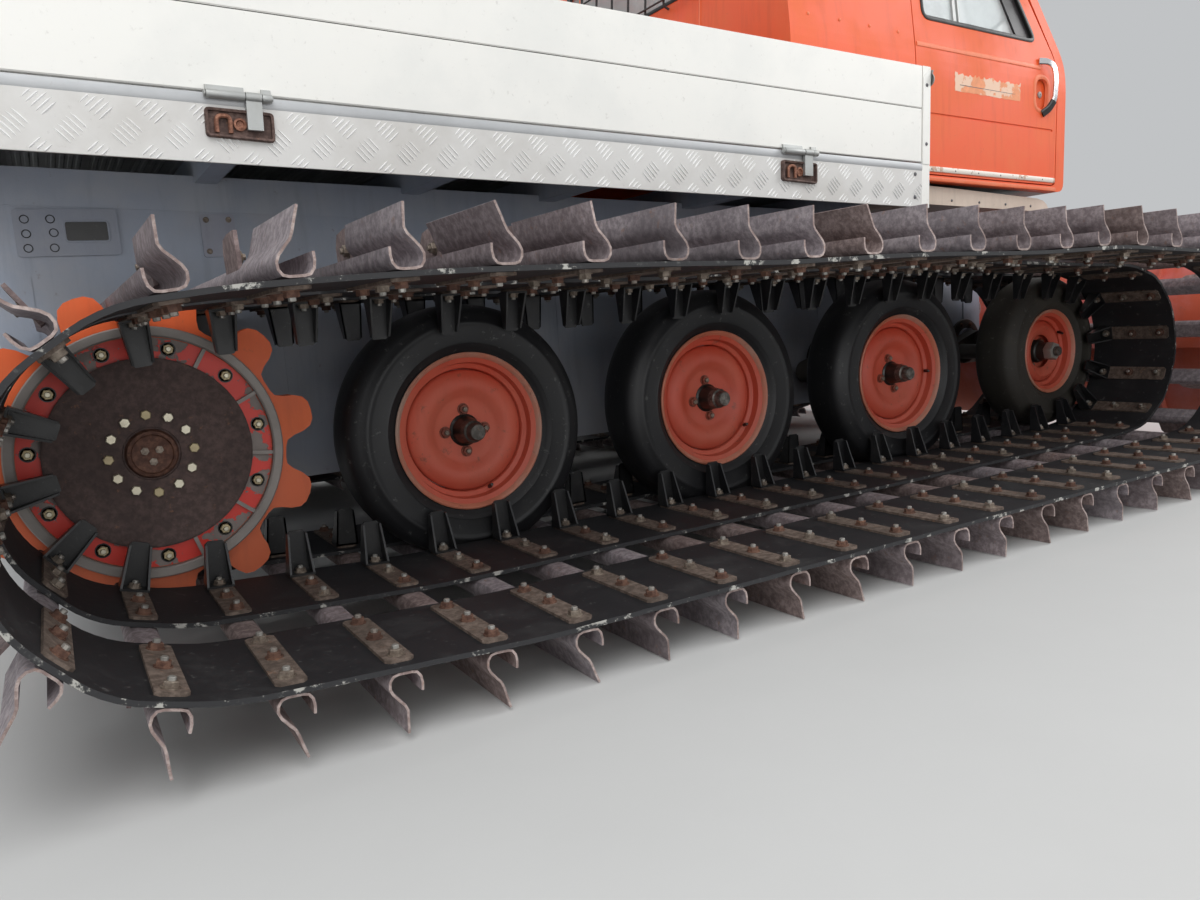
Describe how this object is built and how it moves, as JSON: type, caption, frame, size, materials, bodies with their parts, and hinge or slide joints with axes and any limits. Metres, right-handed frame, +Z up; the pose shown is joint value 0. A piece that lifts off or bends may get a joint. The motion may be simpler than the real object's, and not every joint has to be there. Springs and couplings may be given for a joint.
{
  "type": "snowcat groomer",
  "caption": "Tracked snow groomer with rubber-tyred road wheels inside wide barred tracks, a two-door cab, a drop-side load bed and a lifting front blade.",
  "frame": {"origin": "middle of the vehicle between the hitch and the blade tips, on the ground", "axes": "+X forward, +Y to the left, +Z up"},
  "size_m": [4.89, 3.76, 2.6087],
  "materials": {
    "hull_paint": "worn",
    "orange_paint": "faded",
    "sprocket_plastic": "worn",
    "rusty_steel": "rusty",
    "tyre_rubber": "worn",
    "belt_rubber": "worn",
    "board_aluminium": "weathered",
    "dark_steel": "satin",
    "clear_glass": "clear",
    "seat_cloth": "worn",
    "black_plastic": "satin",
    "lamp_glass": "clear",
    "amber_plastic": "gloss",
    "rod_chrome": "polished"
  },
  "bodies": {
    "vehicle": {"chassis_hull": "hull_paint", "engine_block": "rusty_steel", "suspension_arms_right": "dark_steel", "suspension_arms_left": "dark_steel", "rims_right": "orange_paint", "rims_left": "orange_paint", "tyres_right": "tyre_rubber", "tyres_left": "tyre_rubber", "track_right": "rusty_steel", "track_left": "rusty_steel", "drive_hub_right": "rusty_steel", "drive_hub_left": "rusty_steel", "sprocket_right": "sprocket_plastic", "sprocket_left": "sprocket_plastic", "bed_floor": "board_aluminium", "bed_frame": "dark_steel", "bed_skirt": "board_aluminium", "bed_posts": "board_aluminium", "engine_cover": "orange_paint", "cab_shell": "orange_paint", "cab_floor": "black_plastic", "windscreen": "clear_glass", "cab_glass": "clear_glass", "seats": "seat_cloth", "dashboard": "black_plastic", "mirrors": "black_plastic", "head_lamps": "lamp_glass", "beacon": "amber_plastic", "exhaust_stack": "rusty_steel", "side_boxes": "hull_paint", "front_carrier": "dark_steel", "rear_hitch": "dark_steel"},
    "right_door": {"door_right": "orange_paint", "door_glass_right": "clear_glass"},
    "left_door": {"door_left": "orange_paint", "door_glass_left": "clear_glass"},
    "right_drop_side": {"drop_side_right": "board_aluminium"},
    "left_drop_side": {"drop_side_left": "board_aluminium"},
    "tail_board": {"tailgate": "board_aluminium"},
    "lid": {"engine_lid": "orange_paint"},
    "blade_body": {"blade_arms": "orange_paint", "blade": "orange_paint"},
    "barrel": {"lift_barrel": "dark_steel"},
    "rod": {"lift_rod": "rod_chrome"}
  },
  "joints": [
    {"name": "door_right_hinge", "type": "hinge", "parent": "vehicle", "child": "right_door", "pos_m": [0.79832, -0.974, 1.04981], "axis": [-0.0419, 0, -0.9991], "range_deg": [0, 60]},
    {"name": "door_left_hinge", "type": "hinge", "parent": "vehicle", "child": "left_door", "pos_m": [0.79832, 0.974, 1.04981], "axis": [0.0419, 0, 0.9991], "range_deg": [0, 60]},
    {"name": "drop_side_right_hinge", "type": "hinge", "parent": "vehicle", "child": "right_drop_side", "pos_m": [-1.10855, -1.034, 1.28387], "axis": [0.9991, 0, -0.0419], "range_deg": [0, 110]},
    {"name": "drop_side_left_hinge", "type": "hinge", "parent": "vehicle", "child": "left_drop_side", "pos_m": [-1.10855, 1.034, 1.28387], "axis": [-0.9991, 0, 0.0419], "range_deg": [0, 110]},
    {"name": "tailgate_hinge", "type": "hinge", "parent": "vehicle", "child": "tail_board", "pos_m": [-2.26654, 0, 1.3324], "axis": [0, -1, 0], "range_deg": [0, 110]},
    {"name": "engine_lid_hinge", "type": "hinge", "parent": "vehicle", "child": "lid", "pos_m": [0.15705, 0, 1.7733], "axis": [0, 1, 0], "range_deg": [0, 70]},
    {"name": "blade_lift", "type": "hinge", "parent": "vehicle", "child": "blade_body", "pos_m": [1.895, 0, 0.43], "axis": [0, -1, 0], "range_deg": [0, 20]},
    {"name": "lift_barrel_swing", "type": "hinge", "parent": "vehicle", "child": "barrel", "pos_m": [1.885, 0, 0.9], "axis": [0, -1, 0], "range_deg": [-6, 1]},
    {"name": "lift_rod_slide", "type": "slide", "parent": "barrel", "child": "rod", "axis": [0.5421, 0, -0.8403], "range_m": [-0.085, 0.001]}
  ],
  "couplings": [
    {"joint": "lift_barrel_swing", "follows": "blade_lift", "ratio": -0.21},
    {"joint": "lift_rod_slide", "follows": "blade_lift", "m_per_rad": -0.2326}
  ]
}
